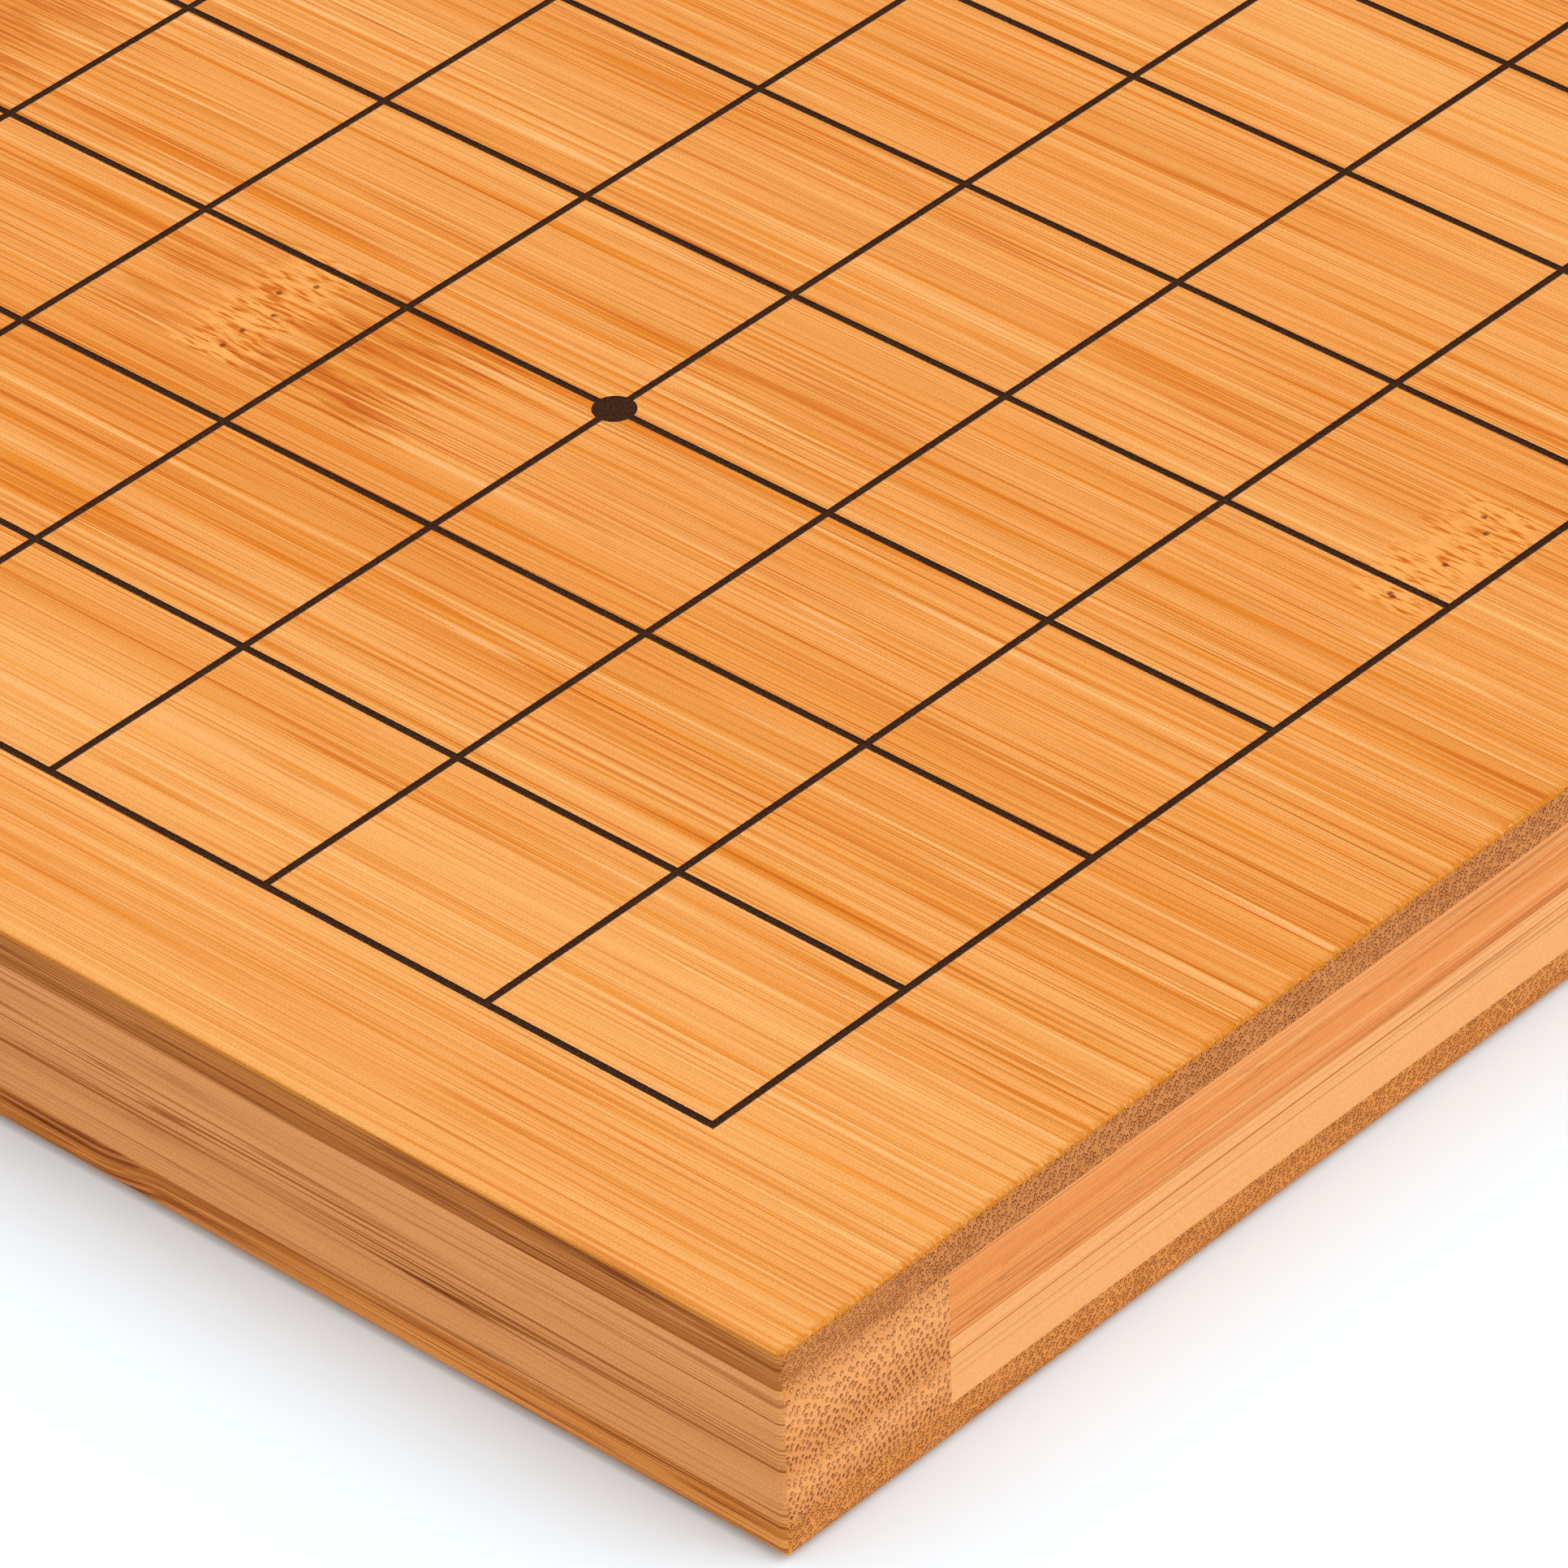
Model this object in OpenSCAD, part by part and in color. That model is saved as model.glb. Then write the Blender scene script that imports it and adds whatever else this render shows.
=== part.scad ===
// Go board: a three-ply bamboo panel with an etched grid.
// X runs across the board, Y along it, and Z up from the face that it rests on.

/* [Grid] */
// Lines each way
line_count = 19; // [9, 13, 19]
// Line spacing across the board
cell_w = 22; // [18:0.1:26]
// Line spacing along the board
cell_l = 23.7; // [18:0.1:28]
// Width of a line
line_w = 0.7; // [0.4:0.05:1.2]
// Depth of the bed that is etched for a line
bed_depth = 0.3; // [0.15:0.05:0.6]
// How far the dark fill lies below the playing face
fill_drop = 0.1; // [0.02:0.02:0.12]
// Diameter of a star point
star_d = 3.8; // [2:0.1:6]
// Line that carries the outer star points, counted from the edge
star_line = 4; // [3:1:4]

/* [Outline] */
// Margin to the left and right of the grid
margin_w = 17.2; // [10:0.1:40]
// Margin in front of the grid and behind it
margin_l = 22.4; // [10:0.1:40]
// Rounding of the bottom edges
bottom_r = 1.2; // [0.4:0.1:2]
// Easing of the top edges
top_r = 0.4; // [0.2:0.1:1.5]
// Rounding of the four upright corners
corner_r = 0.8; // [0.3:0.1:3]

/* [Face plies] */
// Thickness of the top ply
top_t = 3.7; // [2.5:0.1:8]
// Thickness of the bottom ply
bottom_t = 3.7; // [2.5:0.1:8]
// Strips in each face ply
strip_count = 25; // [15:1:25]
// Width of the first strip, which is trimmed at the left edge
first_strip_w = 15.4; // [10:0.1:17]

/* [Core] */
// Width of a rail, which closes the core at the left or the right
rail_w = 18.6; // [10:0.1:30]
// Thickness of the upper layer of a rail
rail_upper_t = 8; // [4:0.1:12]
// Thickness of the lower layer of a rail
rail_lower_t = 4.6; // [4:0.1:12]
// Thickness of the upper layer of staves
stave_upper_t = 6.5; // [3:0.1:7.5]
// Staves in each layer, side by side from front to back
stave_count = 25; // [10:1:30]
// Glue line round each hidden stave
glue_t = 0.2; // [0.05:0.05:0.5]

/* [Hidden] */
$fn = 64;

// Outer size, from the grid and its margins
grid_w = (line_count - 1) * cell_w;
grid_l = (line_count - 1) * cell_l;
board_w = grid_w + 2 * margin_w;
board_l = grid_l + 2 * margin_l;

// Heights of the layers, from the resting face up
core_z = bottom_t;
core_t = rail_lower_t + rail_upper_t;
rail_joint_z = core_z + rail_lower_t;
stave_joint_z = core_z + core_t - stave_upper_t;
top_z = core_z + core_t;
board_t = top_z + top_t;

// Widths that the counts share out
strip_w = (board_w - first_strip_w) / (strip_count - 1);
stave_w = board_l / stave_count;
stave_l = board_w - 2 * rail_w;

// Lines that carry star points, counted from zero
star_lines = [star_line - 1, (line_count - 1) / 2, line_count - star_line];

// Overshoot of a cutting shape past the face that it opens
over = 1;

// Colours of the bamboo and of the marks
face_colour = [0.93, 0.66, 0.39];
underside_colour = [0.80, 0.55, 0.31];
rail_colour = [0.84, 0.60, 0.38];
stave_colour = [0.92, 0.66, 0.40];
mark_colour = [0.20, 0.12, 0.08];

function two_digits(n) = str(n < 10 ? "0" : "", n);
function strip_name(ply, n) = str(ply, "_strip_", two_digits(n));
function strip_left(n) = n == 1 ? -board_w / 2 : -board_w / 2 + first_strip_w + (n - 2) * strip_w;
function strip_width(n) = n == 1 ? first_strip_w : strip_w;
function line_x(n) = n * cell_w - grid_w / 2;
function line_y(n) = n * cell_l - grid_l / 2;
function reaches(x, width, left, right) = x + width / 2 > left && x - width / 2 < right;

// Upright section of the board: bottom corners rounded, top corners eased
module edge_section(width) {
    translate([bottom_r - width / 2, 0])
        square([width - 2 * bottom_r, board_t]);
    translate([-width / 2, bottom_r])
        square([width, board_t - bottom_r - top_r]);
    translate([top_r - width / 2, board_t - 2 * top_r])
        square([width - 2 * top_r, 2 * top_r]);
    for (side = [-1, 1]) {
        translate([side * (width / 2 - bottom_r), bottom_r])
            circle(bottom_r);
        translate([side * (width / 2 - top_r), board_t - top_r])
            circle(top_r);
    }
}

// Plan of the board with rounded corners
module plan() {
    square([board_w - 2 * corner_r, board_l], center = true);
    square([board_w, board_l - 2 * corner_r], center = true);
    for (x = [-1, 1], y = [-1, 1])
        translate([x * (board_w / 2 - corner_r), y * (board_l / 2 - corner_r)])
            circle(corner_r);
}

// The sanded outside of the finished board, which trims every piece that reaches it
module envelope() {
    intersection() {
        linear_extrude(board_t)
            plan();
        rotate([90, 0, 0])
            linear_extrude(board_l, center = true)
                edge_section(board_w);
        rotate([90, 0, 90])
            linear_extrude(board_w, center = true)
                edge_section(board_l);
    }
}

// A piece of bamboo from its lowest corner, sanded with the board
module sanded(corner, size) {
    intersection() {
        translate(corner)
            cube(size);
        envelope();
    }
}

// Plan of the marks that reach between two places across the board.
// The outer corners of the grid are rounded by the spot that etches them.
module marks_plan(left, right) {
    for (n = [0:line_count - 1]) {
        translate([0, line_y(n)])
            square([grid_w, line_w], center = true);
        if (reaches(line_x(n), line_w, left, right))
            translate([line_x(n), 0])
                square([line_w, grid_l], center = true);
    }
    for (x = [0, line_count - 1], y = [0, line_count - 1])
        if (reaches(line_x(x), line_w, left, right))
            translate([line_x(x), line_y(y)])
                circle(d = line_w);
    for (x = star_lines, y = star_lines)
        if (reaches(line_x(x), star_d, left, right))
            translate([line_x(x), line_y(y)])
                circle(d = star_d);
}

// Strip of the top ply, with the beds of the lines that cross it
module top_strip(n) {
    color(face_colour)
        difference() {
            sanded([strip_left(n), -board_l / 2, top_z], [strip_width(n), board_l, top_t]);
            translate([0, 0, board_t - bed_depth])
                linear_extrude(bed_depth + over)
                    marks_plan(strip_left(n), strip_left(n) + strip_width(n));
        }
}

// Strip of the bottom ply
module bottom_strip(n) {
    color(underside_colour)
        sanded([strip_left(n), -board_l / 2, 0], [strip_width(n), board_l, bottom_t]);
}

// Layer of a rail, side -1 at the left and 1 at the right
module rail_layer(side, z, thickness) {
    left = side * (board_w - rail_w) / 2 - rail_w / 2;
    color(rail_colour)
        sanded([left, -board_l / 2, z], [rail_w, board_l, thickness]);
}

// Piece of one stave between the rails, counted from the front, with room for glue beside it
module stave_piece(n, z, thickness, glue) {
    color(stave_colour)
        translate([-stave_l / 2, -board_l / 2 + (n - 1) * stave_w + glue / 2, z])
            cube([stave_l, stave_w - glue, thickness]);
}

// Upper piece of a stave, on the joint between the two layers
module upper_stave(n, glue = 0) {
    stave_piece(n, stave_joint_z + glue / 2, stave_upper_t - glue / 2, glue);
}

// Lower piece of a stave, under that joint
module lower_stave(n, glue = 0) {
    stave_piece(n, core_z, stave_joint_z - core_z - glue / 2, glue);
}

// Staves that the finished board hides, each one apart from its neighbours
module inner_staves() {
    for (n = [2:stave_count - 1]) {
        upper_stave(n, glue_t);
        lower_stave(n, glue_t);
    }
}

// Dark fill of the lines and star points
module grid_marks() {
    color(mark_colour)
        translate([0, 0, board_t - bed_depth])
            linear_extrude(bed_depth - fill_drop)
                marks_plan(-board_w / 2, board_w / 2);
}

for (n = [1:strip_count]) {
    top_strip(n);
    bottom_strip(n);
}
rail_layer(-1, rail_joint_z, rail_upper_t);  // left_rail_upper
rail_layer(-1, core_z, rail_lower_t);  // left_rail_lower
rail_layer(1, rail_joint_z, rail_upper_t);  // right_rail_upper
rail_layer(1, core_z, rail_lower_t);  // right_rail_lower
upper_stave(1);  // front_stave_upper
lower_stave(1);  // front_stave_lower
upper_stave(stave_count);  // back_stave_upper
lower_stave(stave_count);  // back_stave_lower
inner_staves();
grid_marks();
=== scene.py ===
"""Dresses the solids of a laminated bamboo go board: strips, rails, staves and etched marks."""

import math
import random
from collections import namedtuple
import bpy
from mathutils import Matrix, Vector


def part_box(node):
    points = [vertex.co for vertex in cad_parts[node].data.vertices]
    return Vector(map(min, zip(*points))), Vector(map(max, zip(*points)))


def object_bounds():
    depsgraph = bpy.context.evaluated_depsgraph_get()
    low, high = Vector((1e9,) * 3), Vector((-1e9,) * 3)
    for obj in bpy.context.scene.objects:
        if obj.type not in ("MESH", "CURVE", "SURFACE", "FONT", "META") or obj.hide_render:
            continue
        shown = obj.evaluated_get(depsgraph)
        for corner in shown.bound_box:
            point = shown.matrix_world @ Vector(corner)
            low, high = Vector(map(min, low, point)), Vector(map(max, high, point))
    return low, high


bl_info = {
    "name": "Bamboo Go Board",
    "version": (1, 0, 0),
    "blender": (4, 5, 0),
    "location": "View3D > Sidebar > Go Board",
    "description": "Finishes the strips, rails, staves and etched marks of a bamboo go board",
    "category": "Object",
}

import bpy
from bpy.props import FloatProperty, FloatVectorProperty, IntProperty, PointerProperty
from mathutils import Euler, Vector

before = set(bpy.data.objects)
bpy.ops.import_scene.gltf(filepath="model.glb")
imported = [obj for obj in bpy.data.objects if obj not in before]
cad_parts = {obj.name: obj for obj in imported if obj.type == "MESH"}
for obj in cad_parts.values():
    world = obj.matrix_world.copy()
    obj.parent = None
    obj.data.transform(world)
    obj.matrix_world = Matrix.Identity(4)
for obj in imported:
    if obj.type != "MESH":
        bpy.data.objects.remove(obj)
CAD_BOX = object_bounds()

MM = 0.001
TOP_STRIPS = sorted(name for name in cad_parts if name.startswith("top_strip_"))
BOTTOM_STRIPS = sorted(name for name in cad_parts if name.startswith("bottom_strip_"))
RAILS = sorted(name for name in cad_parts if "_rail_" in name)
STAVES = sorted(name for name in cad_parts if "stave" in name)

# Places in millimetres that the patterns are tied to, read from the frame
BOARD_T = CAD_BOX[1][2] / MM
HALF_W = CAD_BOX[1][0] / MM
HALF_L = CAD_BOX[1][1] / MM
FIRST_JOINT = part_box("top_strip_01")[1].x / MM
STRIP_W = (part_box("top_strip_02")[1].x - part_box("top_strip_02")[0].x) / MM
TOP_PLY_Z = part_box("top_strip_01")[0].z / MM
BOTTOM_PLY_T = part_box("bottom_strip_01")[1].z / MM
RAIL_JOINT_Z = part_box("left_rail_lower")[1].z / MM
STAVE_JOINT_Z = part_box("front_stave_lower")[1].z / MM
MARKS_LOW, MARKS_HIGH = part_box("grid_marks")

# Cells from the middle of the grid to its edge, and from one star point to the next
HALF_CELLS = 9
STAR_CELLS = 6

# The middle of a noise, and how far a seed moves it along X, Y and Z
NOISE_MIDDLE = 0.5
SEED_STEPS = (1, 1.7, 0.6)

# Specks in a millimetre along X, Y and Z, and how far they reach in red, green and blue
PLY_SPECKS = (7.5, 5.5, 7.5)
RAIL_SPECKS = (7.5, 6, 7.5)
STAVE_SPECKS = (6, 7.5, 7.5)
SPECK_HUE = (1.0, 1.4, 2.1)

# Shifts in millimetres that give each strip, rail and stave its own part of the grain
STRIP_SHIFT_Y = 173
STRIP_SHIFT_Z = 31
RAIL_LAYER_SHIFT_Y = 310
RAIL_LAYER_SHIFT_Z = 50
RAIL_SIDE_SHIFT_Y = 700
STAVE_LAYER_SHIFT_X = 420
STAVE_LAYER_SHIFT_Z = 40
STAVE_BACK_SHIFT_X = 900

# The swirl of the grain at a knuckle: how far along and how high it reaches in millimetres
SWIRL_REACH = 4
SWIRL_HEIGHT = 1.2

# Pits in the knuckles: millimetres between them, and the shift from strip to strip in such gaps
PIT_GAP = 2.8
PIT_SHIFT = 7

# Fibre bundles cut across: how scattered they are, and how they are squeezed across and upwards
BUNDLE_SCATTER = 0.65
BUNDLE_SQUEEZE_ACROSS = 1.20
BUNDLE_SQUEEZE_UP = 0.95

# Distance between bundles at the bottom of a ply, as a share of that at its top
PLY_CLOSING = 0.88

# Teeth of lacquer at the ends, and patches of the lacquer line with its painted highlight on the long top
# edges: how many in a millimetre, and a seed
TEETH_PER_MM = 1.9
TEETH_SEED = 5
PATCHES_PER_MM = 0.12
PATCH_SEED = 3

# Height of the middle of the dark band on a rail above the joint of its layers
SEAM_LIFT = 0.2

# Sockets of a Mix node that is set to colours
MIX_SHARE, MIX_A, MIX_B = 0, 6, 7
MIX_RESULT = 2

# Strength of the relief on every surface
RELIEF_STRENGTH = 0.6

# Floor in metres, with the colour of its faint speckle
FLOOR_SIZE = 12
FLOOR_DROP = 0.0004
FLOOR_SPECKLE = (0.9, 0.9, 0.9)

# Where the key light comes from, how wide it spreads, and the camera's film width in millimetres
KEY_FROM = (0.16, -0.58, 0.80)
KEY_SPREAD = math.radians(38)
FILM_W = 36


def colour(name, description, default):
    """A colour setting in linear values."""
    return FloatVectorProperty(
        name=name, description=description, subtype="COLOR", size=3, min=0, max=1, default=default
    )


def distance(name, description, default, lowest):
    """A distance setting in metres."""
    return FloatProperty(
        name=name, description=description, subtype="DISTANCE", unit="LENGTH", default=default, min=lowest
    )


def strength(name, description, default):
    """A strength setting."""
    return FloatProperty(name=name, description=description, subtype="UNSIGNED", default=default)


class GoBoardBamboo(bpy.types.PropertyGroup):
    """Colours of the bamboo on each kind of surface. A tint darkens the surface that it lies on."""

    pale: colour("Pale face", "Palest strips of the faces", (0.738, 0.343, 0.103))
    deep: colour("Deep face", "Deepest strips of the faces", (0.660, 0.250, 0.042))
    hair: colour("Pale hair", "Thin pale fibres", (0.79, 0.42, 0.155))
    lacquer: colour("Lacquer rim", "Lacquer that gathers at the ends of the fibres", (0.51, 0.160, 0.007))
    # Line on the long top edges: partly lacquer, partly a painted highlight on their rounding
    lacquer_and_highlight: colour("Lacquer line", "Lacquer along the long top edges", (0.52, 0.185, 0.010))
    edge_top: colour("Top ply edge", "Long edges of the top strips", (0.46, 0.158, 0.030))
    edge_bottom: colour("Bottom ply edge", "Long edges of the bottom strips", (0.70, 0.258, 0.053))
    end_top: colour("Top ply end", "Ends of the top strips", (0.55, 0.200, 0.053))
    end_bottom: colour("Bottom ply end", "Ends of the bottom strips", (0.65, 0.242, 0.054))
    rail: colour("Rail", "Sides of the rails", (0.655, 0.272, 0.087))
    rail_end: colour("Rail end", "Ends of the rails", (0.755, 0.318, 0.106))
    stave_upper: colour("Upper stave", "Sides of the upper staves", (0.720, 0.255, 0.069))
    stave_lower: colour("Lower stave", "Sides of the lower staves", (0.785, 0.357, 0.130))
    shade: colour("Face shade tint", "Tint of the soft bands on the faces", (0.90, 0.76, 0.42))
    dusk: colour("Side shade tint", "Tint of the soft bands on the sides", (0.79, 0.69, 0.55))
    streak: colour("Streak tint", "Tint of the orange threads on the faces", (0.89, 0.64, 0.10))
    thread: colour("Thread tint", "Tint of the thin brown threads on the faces", (0.77, 0.50, 0.04))
    fibre: colour("Fibre tint", "Tint of the thin brown fibres on the sides", (0.46, 0.29, 0.06))
    knuckle: colour("Knuckle", "Pale cells of the knuckles", (0.80, 0.335, 0.075))
    bundle: colour("Bundle tint", "Tint of the fibre bundles that are cut across", (0.22, 0.07, 0.003))
    knuckle_gap: distance("Knuckle gap", "Distance between two knuckles of one strip", 0.262, lowest=0.1)
    seed: IntProperty(name="Seed", description="Choice of the strips that the photo hides", default=4)


class GoBoardMarks(bpy.types.PropertyGroup):
    """The burnt lines and star points."""

    burnt: colour("Burnt", "Colour of the lines and star points", (0.034, 0.0140, 0.0070))
    singed: colour("Singed", "Lighter flecks in the lines and star points", (0.062, 0.030, 0.017))
    line_w: distance("Line width", "Width of a line", 0.0007, lowest=0.0001)
    star_d: distance("Star point", "Diameter of a star point", 0.0038, lowest=0.0001)


class GoBoardStage(bpy.types.PropertyGroup):
    """The floor, the light and the camera."""

    floor: colour("Floor", "Colour of the floor", (0.768, 0.850, 0.905))
    sky: strength("Sky", "Strength of the even light", 1.10)
    key: strength("Key", "Strength of the soft key light", 1.0)
    camera_place: FloatVectorProperty(
        name="Camera place",
        description="Where the camera stands",
        subtype="TRANSLATION",
        unit="LENGTH",
        default=(-0.67368, -0.66928, 0.53308),
    )
    camera_turn: FloatVectorProperty(
        name="Camera turn",
        description="How the camera is turned",
        subtype="EULER",
        default=(math.radians(53.830), math.radians(1.6726), math.radians(-47.983)),
    )
    lens: FloatProperty(name="Lens", description="Focal length in millimetres", default=253.38, min=1)


class Graph:
    """Adds nodes to one material by short calls, each of which gives back a socket. A share runs
    from 0 to 1."""

    def __init__(self, name):
        self.material = bpy.data.materials.new(name)
        self.material.use_nodes = True
        self.tree = self.material.node_tree
        self.tree.nodes.clear()

    def node(self, kind, **settings):
        made = self.tree.nodes.new(kind)
        for key, value in settings.items():
            setattr(made, key, value)
        return made

    def put(self, socket, value):
        """Links a socket to another one, or sets it to a number or a colour."""
        if isinstance(value, bpy.types.NodeSocket):
            self.tree.links.new(value, socket)
        elif socket.type == "RGBA":
            socket.default_value = (*value, 1)
        else:
            socket.default_value = value

    def maths(self, operation, *values):
        made = self.node("ShaderNodeMath", operation=operation)
        for socket, value in zip(made.inputs, values):
            self.put(socket, value)
        return made.outputs[0]

    def add(self, first, *others):
        for other in others:
            first = self.maths("ADD", first, other)
        return first

    def times(self, first, *others):
        for other in others:
            first = self.maths("MULTIPLY", first, other)
        return first

    def minus(self, a, b):
        return self.maths("SUBTRACT", a, b)

    def absolute(self, value):
        return self.maths("ABSOLUTE", value)

    def length(self, a, b):
        """Length of the line that reaches a one way and b across it."""
        return self.maths("SQRT", self.add(self.times(a, a), self.times(b, b)))

    def rest(self, share):
        """What a share leaves of 1."""
        return self.minus(1, share)

    def level(self, share, at_0, at_1):
        """at_0 where the share is 0, at_1 where it is 1 and in line between them."""
        rise = self.times(share, at_1 - at_0)
        return self.add(rise, at_0) if at_0 else rise

    def between(self, value, start, end):
        """0 before start, 1 after end and smooth in between. It falls where start lies past end."""
        made = self.node("ShaderNodeMapRange", interpolation_type="SMOOTHSTEP")
        self.put(made.inputs["Value"], value)
        made.inputs["From Min"].default_value = min(start, end)
        made.inputs["From Max"].default_value = max(start, end)
        made.inputs["To Min"].default_value = 0 if start < end else 1
        made.inputs["To Max"].default_value = 1 if start < end else 0
        return made.outputs[0]

    def sway(self, noise, reach):
        """A noise that swings about 0, by half the reach to either side."""
        return self.times(self.add(noise, -NOISE_MIDDLE), reach)

    def inside(self, x, margin):
        """x, kept the margin away from the long sides, so that no pattern smears at their roundings."""
        return self.maths("MINIMUM", self.maths("MAXIMUM", x, margin - HALF_W), HALF_W - margin)

    def mix(self, share, a, b, blend="MIX"):
        made = self.node("ShaderNodeMix", data_type="RGBA", blend_type=blend)
        self.put(made.inputs[MIX_SHARE], share)
        self.put(made.inputs[MIX_A], a)
        self.put(made.inputs[MIX_B], b)
        return made.outputs[MIX_RESULT]

    def over(self, a, b, *where, share=1, blend="MIX"):
        """Colour a with colour b over it, where all the given shares are high."""
        factors = where if share == 1 else (*where, share)
        return self.mix(self.times(*factors), a, b, blend)

    def tint(self, a, tint, *where, share=1):
        """Colour a, darkened towards its product with the tint where all the given shares are high."""
        return self.over(a, tint, *where, share=share, blend="MULTIPLY")

    def vector(self, x, y, z):
        made = self.node("ShaderNodeCombineXYZ")
        for socket, value in zip(made.inputs, (x, y, z)):
            self.put(socket, value)
        return made.outputs[0]

    def split(self, vector):
        made = self.node("ShaderNodeSeparateXYZ")
        self.put(made.inputs[0], vector)
        return made.outputs

    def place(self):
        """Object coordinates in millimetres."""
        scaled = self.node("ShaderNodeVectorMath", operation="SCALE")
        self.put(scaled.inputs[0], self.node("ShaderNodeTexCoord").outputs["Object"])
        scaled.inputs["Scale"].default_value = 1 / MM
        return self.split(scaled.outputs[0])

    def facing(self):
        """How far the surface faces along X, Y and Z, either way."""
        normal = self.node("ShaderNodeNewGeometry").outputs["Normal"]
        return [self.absolute(part) for part in self.split(normal)]

    def noise(self, vector, detail=2.0):
        made = self.node("ShaderNodeTexNoise")
        self.put(made.inputs["Vector"], vector)
        made.inputs["Scale"].default_value = 1
        made.inputs["Detail"].default_value = detail
        made.inputs["Roughness"].default_value = 0.5
        return made.outputs[0]

    def dots(self, place, rates, detail=2.0):
        """Noise with the given number of dots in a millimetre along X, Y and Z."""
        parts = [self.times(part, rate) if rate else 0 for part, rate in zip(place, rates)]
        return self.noise(self.vector(*parts), detail)

    def specks(self, a, place, rates, strength):
        """Colour a with fine specks, the dark ones deeper and the light ones paler in hue."""
        dark = [1 - strength * part for part in SPECK_HUE]
        light = [1 + strength * part for part in SPECK_HUE]
        tone = self.mix(self.dots(place, rates, detail=1), dark, light)
        return self.mix(1, a, tone, blend="MULTIPLY")

    def fibres(self, grain, width, length, seed, detail=2.0):
        """Noise drawn out along the grain, with a fibre's width and length in millimetres."""
        stretched = self.node("ShaderNodeMapping")
        self.put(stretched.inputs["Vector"], grain)
        stretched.inputs["Location"].default_value = [seed * step for step in SEED_STEPS]
        stretched.inputs["Scale"].default_value = (1 / width, 1 / length, 1 / width)
        return self.noise(stretched.outputs[0], detail)

    def threads(self, grain, width, length, seed, breadth=0.03):
        """Thin lines along the grain, where a noise comes within the breadth of its middle."""
        off = self.absolute(self.add(self.fibres(grain, width, length, seed, detail=0), -NOISE_MIDDLE))
        return self.between(off, start=breadth, end=breadth / 4)

    def bundles(self, x, z, high, low, fill, weight, seed, size=1):
        """Fibre bundles cut across, as dark caps and pale hearts. high and low each give a height
        and the distance between bundles there. The pattern is wound round a point, so that it grows
        closer from high to low and keeps its shape. fill closes the hearts, weight darkens the caps
        and size widens them."""
        wind = math.log(high[1] / low[1]) / (high[0] - low[0])
        turn = self.add(self.times(x, wind), seed)
        radius = self.maths("EXPONENT", self.times(self.add(z, -low[0]), -wind))
        radius = self.times(radius, 1 / (wind * low[1]))
        cos = self.maths("COSINE", turn)
        sin = self.maths("SINE", turn)
        wound = self.vector(self.times(radius, cos), self.times(radius, sin), 0)
        spots = self.node("ShaderNodeTexVoronoi", voronoi_dimensions="2D", feature="F1")
        self.put(spots.inputs["Vector"], wound)
        spots.inputs["Scale"].default_value = 1
        spots.inputs["Randomness"].default_value = BUNDLE_SCATTER
        to_heart = self.node("ShaderNodeVectorMath", operation="SUBTRACT")
        self.put(to_heart.inputs[0], spots.outputs["Position"])
        self.put(to_heart.inputs[1], wound)

        # Where the surface lies in its bundle, upwards and across
        side_u, side_v = self.split(to_heart.outputs[0])[:2]
        above = self.add(self.times(side_u, cos), self.times(side_v, sin))
        across = self.minus(self.times(side_v, cos), self.times(side_u, sin))
        wide = self.times(across, BUNDLE_SQUEEZE_ACROSS / size)
        tall = self.times(above, BUNDLE_SQUEEZE_UP / size)
        reach = self.length(wide, tall)

        # A disc with a hole, darker towards its upper corner
        disc = self.between(reach, start=0.42, end=0.31)
        ring = self.times(disc, self.between(reach, start=0.09, end=0.19))
        shape = self.add(self.times(ring, self.rest(fill)), self.times(disc, fill))
        chance = self.split(spots.outputs["Color"])[0]
        corner = self.add(self.level(above, at_0=0, at_1=0.8), self.level(across, at_0=0, at_1=0.6))
        lit = self.level(self.between(corner, start=-0.20, end=0.10), at_0=0.40, at_1=1)
        cap = self.times(shape, self.level(chance, at_0=0.7, at_1=1), weight, lit)
        heart = self.times(self.between(reach, start=0.24, end=0.10), self.level(fill, at_0=1, at_1=0.4))
        return cap, heart

    def finish(self, base, roughness, height, depth, gloss=0.06):
        """Ends the graph in a shader. depth is that of the relief in millimetres."""
        shader = self.node("ShaderNodeBsdfPrincipled")
        self.put(shader.inputs["Base Color"], base)
        self.put(shader.inputs["Roughness"], roughness)
        shader.inputs["Specular IOR Level"].default_value = gloss
        relief = self.node("ShaderNodeBump")
        relief.inputs["Strength"].default_value = RELIEF_STRENGTH
        relief.inputs["Distance"].default_value = depth * MM
        self.put(relief.inputs["Height"], height)
        self.put(shader.inputs["Normal"], relief.outputs[0])
        output = self.node("ShaderNodeOutputMaterial")
        self.put(output.inputs["Surface"], shader.outputs[0])
        return self.material


# Tone, place of a knuckle along the strip, strength of the streaks and shade beside the knuckle,
# for the strips seen best. All run from 0 to 1.
SEEN_TOP_STRIPS = (
    (0.80, 0.267, 0.58, 0.0),
    (0.95, 0.489, 0.62, 0.0),
    (0.62, 0.341, 0.85, 0.0),
    (0.22, 0.368, 0.95, 0.0),
    (0.50, 0.2675, 0.90, 1.0),
    (0.42, 0.402, 0.88, 0.7),
    (0.50, 0.0577, 0.76, 0.1),
    (0.30, 0.373, 0.90, 0.0),
    (0.55, 0.309, 0.75, 0.0),
    (0.82, 0.542, 0.65, 0.0),
)
SEEN_BOTTOM_STRIPS = ((0.30, 0.146, 0.80, 0.0),)

# What the other strips are chosen from
TONES = (0.15, 0.95)
STREAKS = (0.65, 0.95)
SHADES = (0.0, 0.0, 0.3, 0.6)

# The sockets that tell what the strip at a place is like
Strip = namedtuple("Strip", "number tone knuckle_at streaked shaded")


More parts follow.
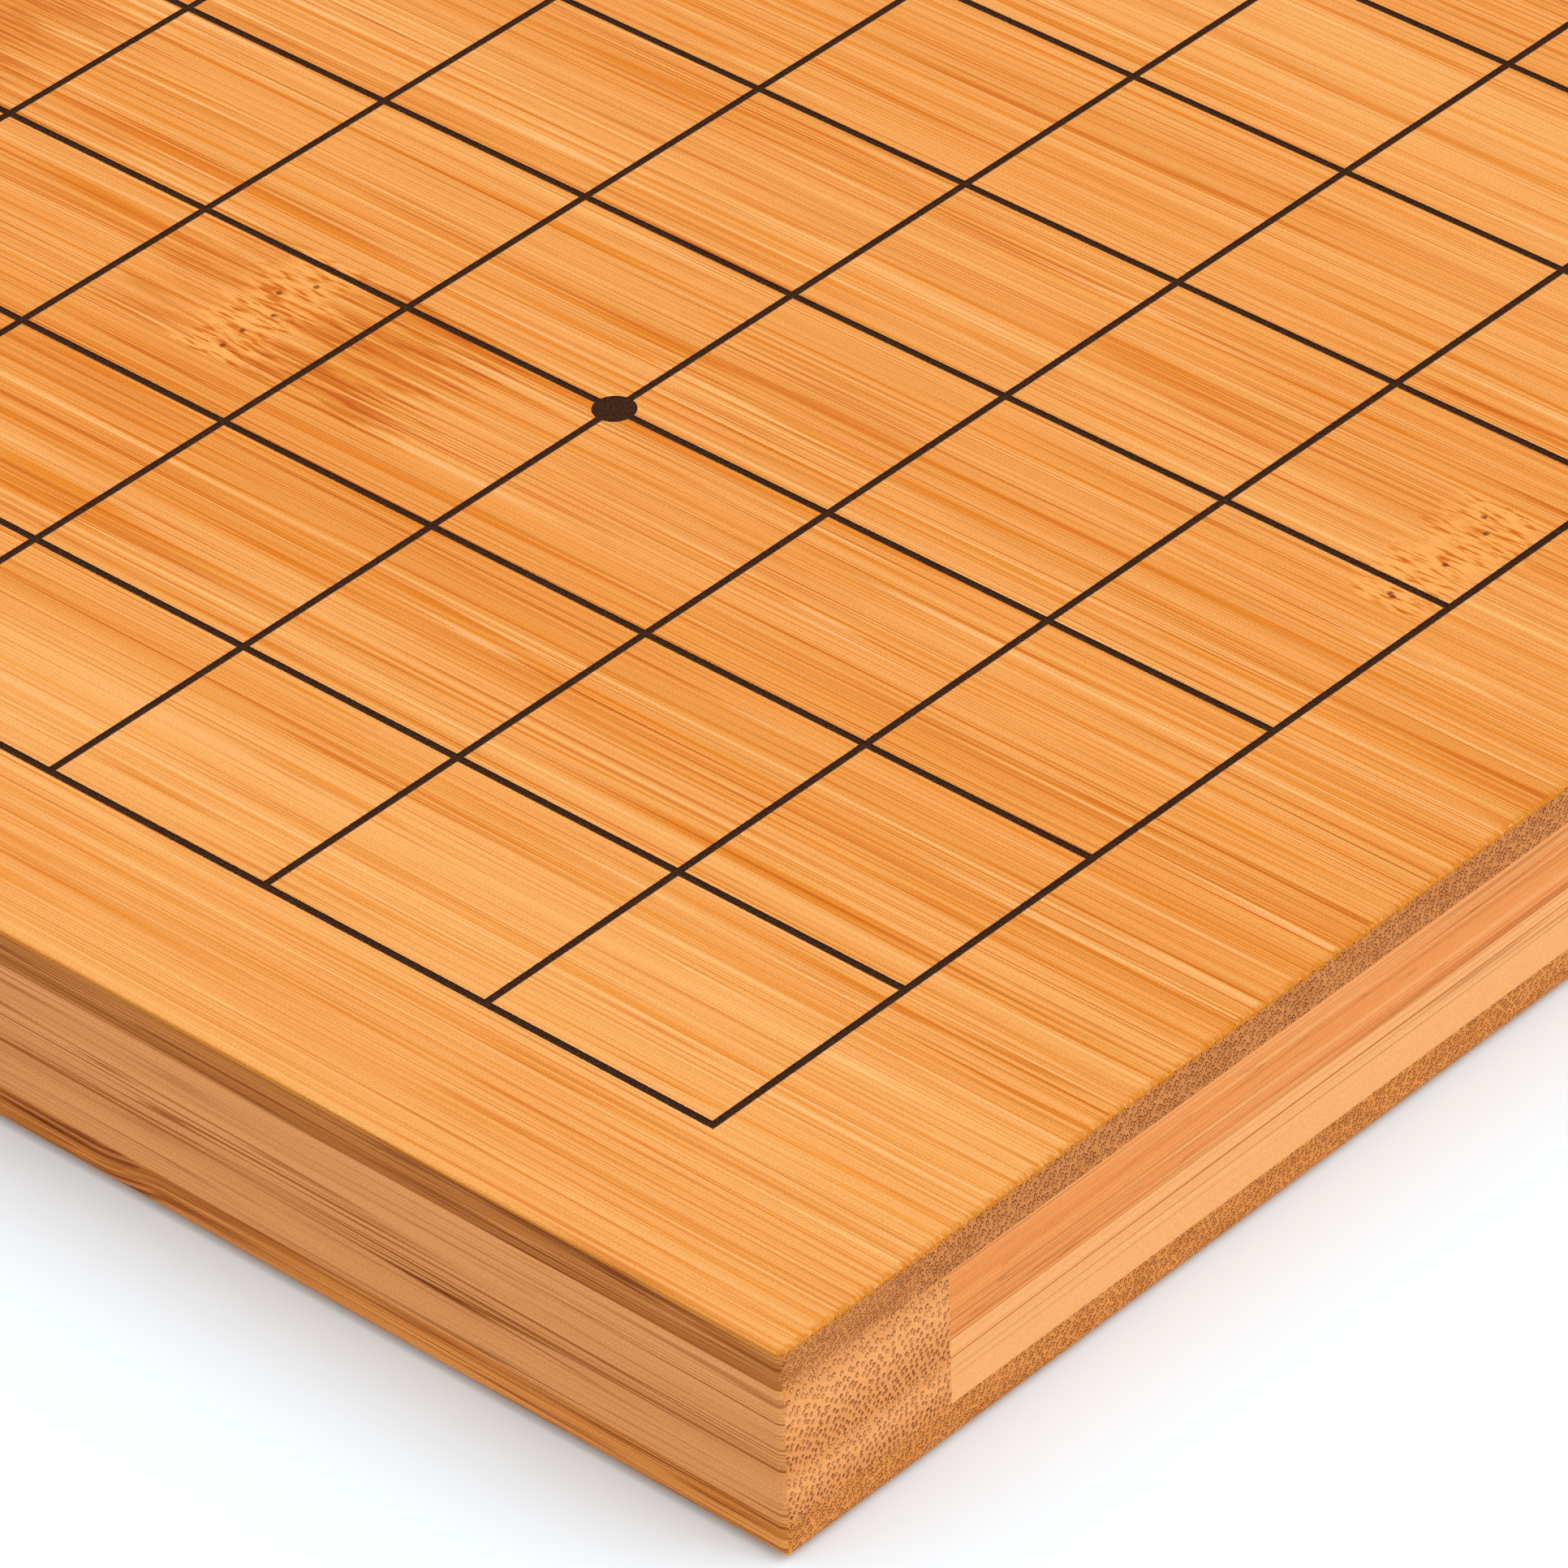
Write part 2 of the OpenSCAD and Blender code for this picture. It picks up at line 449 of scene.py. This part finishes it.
def strip_choices(seen, count, seed):
    """Tone, knuckle place, streaks and shade of each strip: those seen, then chosen ones."""
    chance = random.Random(seed)
    chosen = list(seen[:count])
    while len(chosen) < count:
        tone = chance.uniform(*TONES)
        place = chance.random()
        streaks = chance.uniform(*STREAKS)
        shade = chance.choice(SHADES)
        chosen.append((tone, place, streaks, shade))
    return chosen


def strip_values(g, x, choices):
    """Number of the strip at x, counted from 0, and its tone, knuckle place, streaks and shade."""
    number = g.add(g.maths("FLOOR", g.times(g.add(x, -FIRST_JOINT), 1 / STRIP_W)), 1)
    ramp = g.node("ShaderNodeValToRGB")
    ramp.color_ramp.interpolation = "CONSTANT"
    stops = ramp.color_ramp.elements
    ready = len(stops)
    for n, values in enumerate(choices):
        stop = stops[n] if n < ready else stops.new(n / len(choices))
        stop.position = n / len(choices)
        stop.color = values
    g.put(ramp.inputs[0], g.times(g.add(number, 0.5), 1 / len(choices)))
    parts = g.node("ShaderNodeSeparateColor")
    g.put(parts.inputs[0], ramp.outputs["Color"])
    return Strip(number, *parts.outputs, ramp.outputs["Alpha"])


def drift(g, first, along, last, rate, reach):
    """Slow drift of the grain sideways along a piece, in millimetres."""
    return g.sway(g.noise(g.vector(first, g.times(along, rate), last)), reach)


def strip_grain(g, x, y, z, strip, gap, on_face):
    """Grain of a strip, and the distance along it from its nearest knuckle. Away from the face
    the grain swirls at the knuckle."""
    along = g.minus(y, g.times(g.add(strip.knuckle_at, -0.5), 2 * HALF_L))
    along = g.add(g.maths("FLOORED_MODULO", g.add(along, gap / 2), gap), -gap / 2)
    slope = g.add(g.times(along, 1 / gap), 0.5)
    step = g.minus(g.between(along, start=-SWIRL_REACH, end=SWIRL_REACH), slope)
    swirl = g.times(step, g.rest(on_face), SWIRL_HEIGHT)
    own_y = g.add(y, g.times(strip.number, STRIP_SHIFT_Y))
    own_x = g.add(g.inside(x, margin=0.5), drift(g, strip.number, own_y, 0, rate=0.012, reach=0.7))
    own_z = g.add(z, swirl, g.times(strip.number, STRIP_SHIFT_Z))
    return g.vector(own_x, own_y, own_z), along


def burn(g, x, y, marks, walls):
    """1 in the lines and star points, with a ragged edge. walls is 1 on the walls of their beds."""
    line_w = marks.line_w / MM
    half_w = (MARKS_HIGH.x - MARKS_LOW.x) / MM / 2 - line_w / 2
    half_l = (MARKS_HIGH.y - MARKS_LOW.y) / MM / 2 - line_w / 2
    cell_w = half_w / HALF_CELLS
    cell_l = half_l / HALF_CELLS
    beside_x = g.maths("PINGPONG", x, cell_w / 2)
    beside_y = g.maths("PINGPONG", y, cell_l / 2)
    beside_x = g.maths("MAXIMUM", beside_x, g.add(g.absolute(y), -half_l))
    beside_y = g.maths("MAXIMUM", beside_y, g.add(g.absolute(x), -half_w))
    line = g.maths("MINIMUM", beside_x, beside_y)
    star_x = g.maths("PINGPONG", x, cell_w * STAR_CELLS / 2)
    star_y = g.maths("PINGPONG", y, cell_l * STAR_CELLS / 2)
    star = g.add(g.length(star_x, star_y), (line_w - marks.star_d / MM) / 2)
    ragged = g.sway(g.dots((x, y, 0), rates=(9, 7, 0), detail=1), reach=0.22)
    off = g.add(g.maths("MINIMUM", line, star), ragged, g.level(walls, at_0=0, at_1=-0.3))
    return g.between(off, start=line_w / 2 + 0.08, end=line_w / 2 - 0.04)


def face_colour(g, grain, along, x, strip, bamboo):
    """Lacquered face of a strip: long threads that break up at the knuckles."""
    wander = g.sway(g.fibres(grain, width=2.2, length=5, seed=41), reach=7)
    near = g.between(g.absolute(g.add(along, wander)), start=6, end=2)
    away = g.rest(near)

    # Soft bands and long threads
    soft = g.fibres(grain, width=1.6, length=170, seed=29, detail=1)
    band = g.fibres(grain, width=4.5, length=200, seed=23, detail=1)
    fade = g.between(g.fibres(grain, width=1.2, length=45, seed=59, detail=1), start=0.36, end=0.56)
    bold = g.threads(grain, width=0.95, length=190, seed=11, breadth=0.036)
    firm = g.threads(grain, width=0.60, length=150, seed=13, breadth=0.038)
    firm = g.times(firm, g.between(band, start=0.34, end=0.54))
    thin = g.threads(grain, width=0.40, length=110, seed=3, breadth=0.048)
    fine = g.threads(grain, width=0.27, length=90, seed=53, breadth=0.055)
    hair = g.threads(grain, width=0.62, length=140, seed=37, breadth=0.036)
    colour = g.mix(strip.tone, bamboo.deep, bamboo.pale)
    colour = g.tint(colour, bamboo.shade, g.between(soft, start=0.48, end=0.28), share=0.40)
    colour = g.tint(colour, bamboo.shade, g.between(band, start=0.50, end=0.72), share=0.50)
    colour = g.tint(colour, bamboo.streak, g.maths("MAXIMUM", bold, firm), strip.streaked, away)
    colour = g.tint(colour, bamboo.thread, thin, fade, strip.streaked, away, share=0.95)
    colour = g.tint(colour, bamboo.thread, fine, away, share=0.60)
    colour = g.over(colour, bamboo.hair, hair, g.between(soft, start=0.40, end=0.54), away, share=0.7)

    # Knuckles: pale cells, dark dashes and a row of pits across the strip
    cells = g.fibres(grain, width=0.34, length=2.4, seed=17, detail=1)
    colour = g.over(colour, bamboo.knuckle, near, g.between(cells, start=0.54, end=0.38), share=0.8)
    colour = g.tint(colour, bamboo.streak, near, g.between(cells, start=0.50, end=0.64))
    colour = g.tint(colour, bamboo.thread, near, g.between(cells, start=0.57, end=0.70), share=0.9)
    pits = g.node("ShaderNodeTexVoronoi", voronoi_dimensions="2D", feature="F1")
    pits.inputs["Scale"].default_value = 1
    pit_x = g.times(x, 1 / PIT_GAP)
    pit_y = g.add(g.times(along, 1 / PIT_GAP), g.times(strip.number, PIT_SHIFT))
    g.put(pits.inputs["Vector"], g.vector(pit_x, pit_y, 0))
    pit = g.between(pits.outputs["Distance"], start=0.15, end=0.05)
    row = g.between(g.absolute(along), start=1.7, end=1.0)
    colour = g.tint(colour, bamboo.bundle, pit, row, share=0.85)

    # Shade before and after a knuckle, combed out along the grain and fainter after it
    comb = g.fibres(grain, width=0.42, length=30, seed=83, detail=1)
    dashes = g.fibres(grain, width=0.45, length=8, seed=19, detail=1)
    ragged = g.add(along, g.sway(comb, reach=26))
    before = g.times(g.between(ragged, start=-21, end=-16), g.between(ragged, start=-2, end=-7))
    after = g.times(g.between(ragged, start=15, end=8), g.between(ragged, start=2, end=6))
    shade = g.times(g.add(before, g.level(after, at_0=0, at_1=0.5)), strip.shaded)
    colour = g.tint(colour, bamboo.shade, shade)
    return g.tint(colour, bamboo.thread, shade, g.between(dashes, start=0.46, end=0.60), share=0.9)


def edge_colour(g, grain, along, dark, base, bamboo):
    """Long edge of a strip, which shows the fibres from the side. dark is 1 in its darkest layer."""
    band = g.fibres(grain, width=1.1, length=110, seed=61, detail=1)
    fade = g.between(g.fibres(grain, width=0.8, length=22, seed=67, detail=1), start=0.38, end=0.54)
    line = g.threads(grain, width=0.60, length=60, seed=71, breadth=0.055)
    thin = g.threads(grain, width=0.32, length=50, seed=73, breadth=0.060)
    hair = g.threads(grain, width=0.45, length=60, seed=79, breadth=0.045)
    dashes = g.fibres(grain, width=0.34, length=9, seed=89, detail=1)
    off = g.absolute(along)
    near = g.between(off, start=18, end=5)
    colour = g.over(base, bamboo.rail, g.between(band, start=0.50, end=0.70), share=0.40)
    colour = g.tint(colour, bamboo.fibre, g.between(off, start=36, end=12), share=0.36)
    colour = g.tint(colour, bamboo.dusk, g.between(band, start=0.48, end=0.30), share=0.7)
    colour = g.tint(colour, bamboo.dusk, dark, share=0.75)
    colour = g.tint(colour, bamboo.fibre, near, g.between(dashes, start=0.48, end=0.62), share=0.8)
    colour = g.tint(colour, bamboo.fibre, line, fade, share=0.85)
    colour = g.over(colour, bamboo.rail, hair, share=0.5)
    return g.tint(colour, bamboo.fibre, thin, share=0.65)


def end_colour(g, x, z, base, low, spacing, closer, seed, bamboo):
    """End of a strip, which shows its fibre bundles cut across, and the caps of those bundles.
    closer draws the bundles together."""
    close_x = g.times(x, closer)
    close_z = g.add(g.times(g.add(z, -low), closer), low)
    at_top = (low + BOTTOM_PLY_T, spacing)
    at_bottom = (low, spacing * PLY_CLOSING)
    cap, heart = g.bundles(
        close_x, close_z, high=at_top, low=at_bottom, fill=0.1, weight=1, seed=seed, size=1.18
    )
    cloud = g.dots((x, 0, z), rates=(0.3, 0, 0.5))
    colour = g.tint(base, bamboo.dusk, g.between(cloud, start=0.42, end=0.66), share=0.6)
    colour = g.over(colour, bamboo.hair, heart, share=0.45)
    return g.tint(colour, bamboo.bundle, cap), cap


def lacquer(g, x, y, z, face, edge, end, bamboo):
    """Face, edge and end of the top ply with lacquer over their rims, in teeth at the fibres' ends. The
    lighter line along the rounded top of the long edges is partly lacquer and partly a painted highlight.
    """
    below = g.minus(BOARD_T, z)
    teeth = g.noise(g.vector(g.times(x, TEETH_PER_MM), 0, TEETH_SEED))
    tip = g.between(teeth, start=0.40, end=0.60)
    rim = g.between(g.minus(HALF_L, g.absolute(y)), start=0.8, end=0.1)
    face = g.over(face, bamboo.lacquer, rim, g.level(tip, at_0=0.16, at_1=0.86))
    hanging = g.minus(below, g.level(tip, at_0=0.14, at_1=0.48))
    end = g.over(end, bamboo.lacquer, g.between(hanging, start=0.08, end=-0.06), share=0.9)
    # Lighter line along the rounded top of the long edges, in patches: partly lacquer, partly a painted
    # highlight
    patchy = g.noise(g.vector(0, g.times(y, PATCHES_PER_MM), PATCH_SEED))
    patch = g.between(patchy, start=0.20, end=0.50)
    edge = g.over(edge, bamboo.lacquer_and_highlight, g.between(below, start=0.60, end=0.20), patch, share=0.9)
    return face, edge, end


def ply_material(name, bamboo, marks, choices, top):
    """Bamboo of a face ply: lacquered face, streaked long edges and dotted ends."""
    g = Graph(name)
    x, y, z = g.place()
    face_x, face_y, face_z = g.facing()
    on_face = g.between(face_z, start=0.40, end=0.75)
    strip = strip_values(g, x, choices)
    grain, along = strip_grain(g, x, y, z, strip, bamboo.knuckle_gap / MM, on_face)
    face = face_colour(g, grain, along, x, strip, bamboo)
    if top:
        dark = g.between(z, start=TOP_PLY_Z + 2.2, end=TOP_PLY_Z + 0.8)
        edge = edge_colour(g, grain, along, dark, bamboo.edge_top, bamboo)

        # The end of the first strip is finer and shades into the rail below it
        first = g.maths("LESS_THAN", strip.number, 0.5)
        closer = g.level(first, at_0=1, at_1=1.4)
        foot = g.between(z, start=TOP_PLY_Z + 1.2, end=TOP_PLY_Z)
        base = g.over(bamboo.end_top, bamboo.rail_end, foot, first, share=0.45)
        end, cap = end_colour(
            g, x, z, base, low=TOP_PLY_Z, spacing=0.57, closer=closer, seed=0.3, bamboo=bamboo
        )
        face, edge, end = lacquer(g, x, y, z, face, edge, end, bamboo)
    else:
        dark = g.between(z, start=BOTTOM_PLY_T - 1.4, end=BOTTOM_PLY_T - 0.6)
        edge = edge_colour(g, grain, along, dark, bamboo.edge_bottom, bamboo)
        end, cap = end_colour(
            g, x, z, bamboo.end_bottom, low=0, spacing=0.49, closer=1, seed=2.3, bamboo=bamboo
        )

    at_end = g.between(g.minus(face_y, face_x), start=-0.05, end=0.25)
    base = g.mix(on_face, g.mix(at_end, edge, end), face)
    base = g.specks(base, (x, y, z), rates=PLY_SPECKS, strength=0.24)
    if top:
        base = g.mix(burn(g, x, y, marks, g.rest(on_face)), base, marks.burnt)
    fine = g.fibres(grain, width=0.22, length=60, seed=5, detail=1)
    roughness = g.add(g.level(on_face, at_0=0.50, at_1=0.34), g.level(fine, at_0=0, at_1=0.16))
    height = g.minus(g.level(fine, at_0=0, at_1=0.5), g.times(cap, at_end, g.rest(on_face)))
    return g.finish(base, roughness, height, depth=0.01)


def rail_material(name, bamboo):
    """Bamboo of the rails: tan sides with dark lens-shaped streaks, and ends full of bundles."""
    g = Graph(name)
    x, y, z = g.place()
    face_x, face_y = g.facing()[:2]
    upper = g.maths("GREATER_THAN", z, RAIL_JOINT_Z)
    lower = g.rest(upper)
    side = g.maths("SIGN", x)
    own_y = g.add(y, g.times(upper, RAIL_LAYER_SHIFT_Y), g.times(side, RAIL_SIDE_SHIFT_Y))
    own_z = g.add(z, drift(g, upper, own_y, side, rate=0.010, reach=2.4))
    own_z = g.add(own_z, g.times(upper, RAIL_LAYER_SHIFT_Z))
    grain = g.vector(g.inside(x, margin=1.2), own_y, own_z)

    # Each layer is open at its top and dense at its bottom
    upper_dense = g.between(z, start=TOP_PLY_Z, end=RAIL_JOINT_Z)
    lower_dense = g.between(z, start=RAIL_JOINT_Z, end=BOTTOM_PLY_T)
    dense = g.add(g.times(upper, upper_dense), g.times(lower, lower_dense))

    # Sides: streaks that gather in places, each one a lens some tens of millimetres long
    soft = g.fibres(grain, width=1.8, length=90, seed=31, detail=1)
    crowd = g.fibres(grain, width=2.0, length=75, seed=29, detail=1)
    seam = g.between(g.absolute(g.add(z, -SEAM_LIFT - RAIL_JOINT_Z)), start=2.1, end=0.6)
    foot = g.between(z, start=RAIL_JOINT_Z - 3.5, end=BOTTOM_PLY_T)
    lined = g.add(g.times(upper, g.level(upper_dense, at_0=0.35, at_1=1)), g.times(lower, foot))
    crowd = g.add(crowd, g.level(lined, at_0=-0.13, at_1=0.13), g.level(seam, at_0=0, at_1=0.12))
    gather = g.between(crowd, start=0.44, end=0.58)
    fade = g.between(g.fibres(grain, width=0.90, length=30, seed=59, detail=1), start=0.36, end=0.52)
    lens = g.threads(grain, width=0.75, length=70, seed=13, breadth=0.058)
    thin = g.threads(grain, width=0.42, length=45, seed=7, breadth=0.060)
    long = g.tint(bamboo.rail, bamboo.dusk, dense, share=0.12)
    long = g.tint(long, bamboo.dusk, g.between(soft, start=0.50, end=0.74), share=0.35)
    long = g.tint(long, bamboo.dusk, seam, share=0.42)
    long = g.tint(long, bamboo.fibre, thin, g.level(gather, at_0=0.34, at_1=0.86))
    long = g.tint(long, bamboo.fibre, lens, fade, g.level(gather, at_0=0.26, at_1=0.94))

    # Ends: bundles that close up downwards in each layer
    weight = g.level(dense, at_0=0.80, at_1=1)
    top = (TOP_PLY_Z, 0.82)
    above_joint = (RAIL_JOINT_Z, 0.50)
    below_joint = (RAIL_JOINT_Z, 0.72)
    bottom = (BOTTOM_PLY_T, 0.49)
    upper_cap, upper_heart = g.bundles(x, z, top, above_joint, fill=upper_dense, weight=weight, seed=1.1)
    lower_cap, lower_heart = g.bundles(x, z, below_joint, bottom, fill=lower_dense, weight=weight, seed=2.7)
    cap = g.add(g.times(upper, upper_cap), g.times(lower, lower_cap))
    heart = g.add(g.times(upper, upper_heart), g.times(lower, lower_heart))
    end = g.tint(bamboo.rail_end, bamboo.dusk, g.between(dense, start=0.4, end=1.0), share=0.7)
    joint = g.between(z, start=RAIL_JOINT_Z - 2.0, end=RAIL_JOINT_Z)
    end = g.tint(end, bamboo.dusk, joint, lower, share=0.6)
    end = g.tint(end, bamboo.dusk, g.between(z, start=TOP_PLY_Z - 2.6, end=TOP_PLY_Z), share=0.7)
    end = g.over(end, bamboo.hair, heart, share=0.6)
    end = g.tint(end, bamboo.bundle, cap)

    at_end = g.between(g.minus(face_y, face_x), start=0.10, end=0.45)
    base = g.specks(g.mix(at_end, long, end), (x, y, z), rates=RAIL_SPECKS, strength=0.28)
    fine = g.fibres(grain, width=0.30, length=40, seed=5, detail=1)
    roughness = g.add(g.level(at_end, at_0=0.40, at_1=0.52), g.level(fine, at_0=0, at_1=0.2))
    height = g.minus(g.level(fine, at_0=0, at_1=0.4), g.times(cap, at_end))
    return g.finish(base, roughness, height, depth=0.01)


def stave_material(name, bamboo):
    """Bamboo of the staves, whose grain runs across the board."""
    g = Graph(name)
    x, y, z = g.place()
    upper = g.maths("GREATER_THAN", z, STAVE_JOINT_Z)
    back = g.maths("GREATER_THAN", y, 0)
    own_x = g.add(x, g.times(upper, STAVE_LAYER_SHIFT_X), g.times(back, STAVE_BACK_SHIFT_X))
    own_z = g.add(z, drift(g, upper, own_x, back, rate=0.008, reach=1.2))
    own_z = g.add(own_z, g.times(upper, STAVE_LAYER_SHIFT_Z))
    grain = g.vector(y, own_x, own_z)
    soft = g.fibres(grain, width=1.8, length=200, seed=31, detail=1)
    fade = g.between(g.fibres(grain, width=1.0, length=60, seed=59, detail=1), start=0.38, end=0.56)
    bold = g.threads(grain, width=0.95, length=320, seed=17, breadth=0.034)
    firm = g.threads(grain, width=0.50, length=220, seed=23, breadth=0.040)
    crisp = g.threads(grain, width=1.25, length=420, seed=61, breadth=0.024)
    pores = g.threads(grain, width=0.55, length=14, seed=43, breadth=0.035)
    hair = g.threads(grain, width=0.9, length=260, seed=47)

    # The lower stave is plain below its upper half, and the upper one has fainter crisp lines
    plain = g.between(z, start=STAVE_JOINT_Z - 3.0, end=STAVE_JOINT_Z - 4.2)
    drawn = g.level(g.times(plain, g.rest(upper)), at_0=1, at_1=0.08)
    base = g.mix(upper, bamboo.stave_lower, bamboo.stave_upper)
    base = g.tint(base, bamboo.dusk, g.between(soft, start=0.48, end=0.74), drawn, share=0.20)
    base = g.over(base, bamboo.stave_lower, g.between(soft, start=0.48, end=0.30), drawn, share=0.40)
    base = g.tint(base, bamboo.fibre, bold, fade, drawn, share=0.45)
    base = g.tint(base, bamboo.fibre, firm, drawn, share=0.45)
    base = g.tint(base, bamboo.fibre, crisp, drawn, g.level(upper, at_0=1, at_1=0.25))
    base = g.tint(base, bamboo.fibre, pores, fade, upper, share=0.35)
    base = g.over(base, bamboo.hair, hair, drawn, share=0.35)
    base = g.specks(base, (x, y, z), rates=STAVE_SPECKS, strength=0.15)
    fine = g.fibres(grain, width=0.26, length=90, seed=7, detail=1)
    roughness = g.level(fine, at_0=0.40, at_1=0.60)
    return g.finish(base, roughness, fine, depth=0.008)


def marks_material(name, marks):
    """Burnt wood in the lines and star points, with singed flecks."""
    g = Graph(name)
    fleck = g.dots(g.place(), rates=(7, 5, 7))
    base = g.mix(g.between(fleck, start=0.46, end=0.70), marks.burnt, marks.singed)
    return g.finish(base, roughness=0.8, height=fleck, depth=0.02, gloss=0)


def floor_material(name, stage):
    """Plain pale floor with a faint speckle."""
    g = Graph(name)
    speckle = g.dots(g.place(), rates=(0.05, 0.05, 0))
    base = g.over(stage.floor, FLOOR_SPECKLE, speckle, share=0.02)
    return g.finish(base, roughness=0.9, height=speckle, depth=0.001)


def dress(names, material):
    """Gives the finished material to CAD nodes."""
    for name in names:
        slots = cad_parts[name].material_slots
        if not slots:
            raise RuntimeError(f"{name} has no material slot")
        for slot in slots:
            slot.material = material


class GOBOARD_OT_top_strips(bpy.types.Operator):
    """Finish the strips of the playing face"""

    bl_idname = "goboard.top_strips"
    bl_label = "Top strips"

    def execute(self, context):
        bamboo = context.scene.goboard_bamboo
        marks = context.scene.goboard_marks
        choices = strip_choices(SEEN_TOP_STRIPS, len(TOP_STRIPS), bamboo.seed)
        dress(TOP_STRIPS, ply_material("top_bamboo_lacquered", bamboo, marks, choices, top=True))
        return {"FINISHED"}


class GOBOARD_OT_bottom_strips(bpy.types.Operator):
    """Finish the strips of the underside"""

    bl_idname = "goboard.bottom_strips"
    bl_label = "Bottom strips"

    def execute(self, context):
        bamboo = context.scene.goboard_bamboo
        marks = context.scene.goboard_marks
        choices = strip_choices(SEEN_BOTTOM_STRIPS, len(BOTTOM_STRIPS), bamboo.seed + 1)
        dress(BOTTOM_STRIPS, ply_material("bottom_bamboo_lacquered", bamboo, marks, choices, top=False))
        return {"FINISHED"}


class GOBOARD_OT_rails(bpy.types.Operator):
    """Finish the rails that close the core"""

    bl_idname = "goboard.rails"
    bl_label = "Rails"

    def execute(self, context):
        dress(RAILS, rail_material("rail_bamboo_sanded", context.scene.goboard_bamboo))
        return {"FINISHED"}


class GOBOARD_OT_staves(bpy.types.Operator):
    """Finish the staves of the core"""

    bl_idname = "goboard.staves"
    bl_label = "Staves"

    def execute(self, context):
        dress(STAVES, stave_material("stave_bamboo_sanded", context.scene.goboard_bamboo))
        return {"FINISHED"}


class GOBOARD_OT_marks(bpy.types.Operator):
    """Finish the burnt lines and star points"""

    bl_idname = "goboard.marks"
    bl_label = "Lines and star points"

    def execute(self, context):
        dress(["grid_marks"], marks_material("burnt_marks", context.scene.goboard_marks))
        return {"FINISHED"}


class GOBOARD_OT_stage(bpy.types.Operator):
    """Set up the floor, the light and the camera"""

    bl_idname = "goboard.stage"
    bl_label = "Stage"

    def execute(self, context):
        stage = context.scene.goboard_stage
        scene = context.scene
        scene.view_settings.view_transform = "Standard"
        bpy.ops.object.select_all(action="DESELECT")
        bpy.ops.mesh.primitive_plane_add(size=FLOOR_SIZE, location=(0, 0, -FLOOR_DROP))
        floor = context.object
        floor.name = "floor"
        floor.data.materials.append(floor_material("floor_pale", stage))

        world = bpy.data.worlds.new("studio")
        world.use_nodes = True
        background = world.node_tree.nodes["Background"]
        background.inputs["Color"].default_value = (1, 1, 1, 1)
        background.inputs["Strength"].default_value = stage.sky
        scene.world = world
        bpy.ops.object.light_add(type="SUN")
        key = context.object
        key.data.energy = stage.key
        key.data.angle = KEY_SPREAD
        key.rotation_euler = Vector(KEY_FROM).to_track_quat("Z", "Y").to_euler()

        bpy.ops.object.camera_add(location=stage.camera_place, rotation=Euler(stage.camera_turn))
        camera = context.object
        camera.data.sensor_width = FILM_W
        camera.data.lens = stage.lens
        scene.camera = camera
        return {"FINISHED"}


class GOBOARD_PT_panel(bpy.types.Panel):
    """Lists the settings and the pieces of the board"""

    bl_idname = "GOBOARD_PT_panel"
    bl_label = "Go Board"
    bl_space_type = "VIEW_3D"
    bl_region_type = "UI"
    bl_category = "Go Board"

    def draw(self, context):
        for group_name in GROUPS:
            group = getattr(context.scene, group_name)
            box = self.layout.box()
            for name in group.__annotations__:
                box.prop(group, name)
        for operator in OPERATORS:
            self.layout.operator(operator.bl_idname)


GROUPS = {
    "goboard_bamboo": GoBoardBamboo,
    "goboard_marks": GoBoardMarks,
    "goboard_stage": GoBoardStage,
}
OPERATORS = (
    GOBOARD_OT_top_strips,
    GOBOARD_OT_bottom_strips,
    GOBOARD_OT_rails,
    GOBOARD_OT_staves,
    GOBOARD_OT_marks,
    GOBOARD_OT_stage,
)
CLASSES = (*GROUPS.values(), *OPERATORS, GOBOARD_PT_panel)


def register():
    for kind in CLASSES:
        bpy.utils.register_class(kind)
    for name, kind in GROUPS.items():
        setattr(bpy.types.Scene, name, PointerProperty(type=kind))


def unregister():
    for name in GROUPS:
        delattr(bpy.types.Scene, name)
    for kind in reversed(CLASSES):
        bpy.utils.unregister_class(kind)


def main():
    register()
    bpy.ops.goboard.top_strips()
    bpy.ops.goboard.bottom_strips()
    bpy.ops.goboard.rails()
    bpy.ops.goboard.staves()
    bpy.ops.goboard.marks()
    bpy.ops.goboard.stage()


if __name__ == "__main__":
    main()
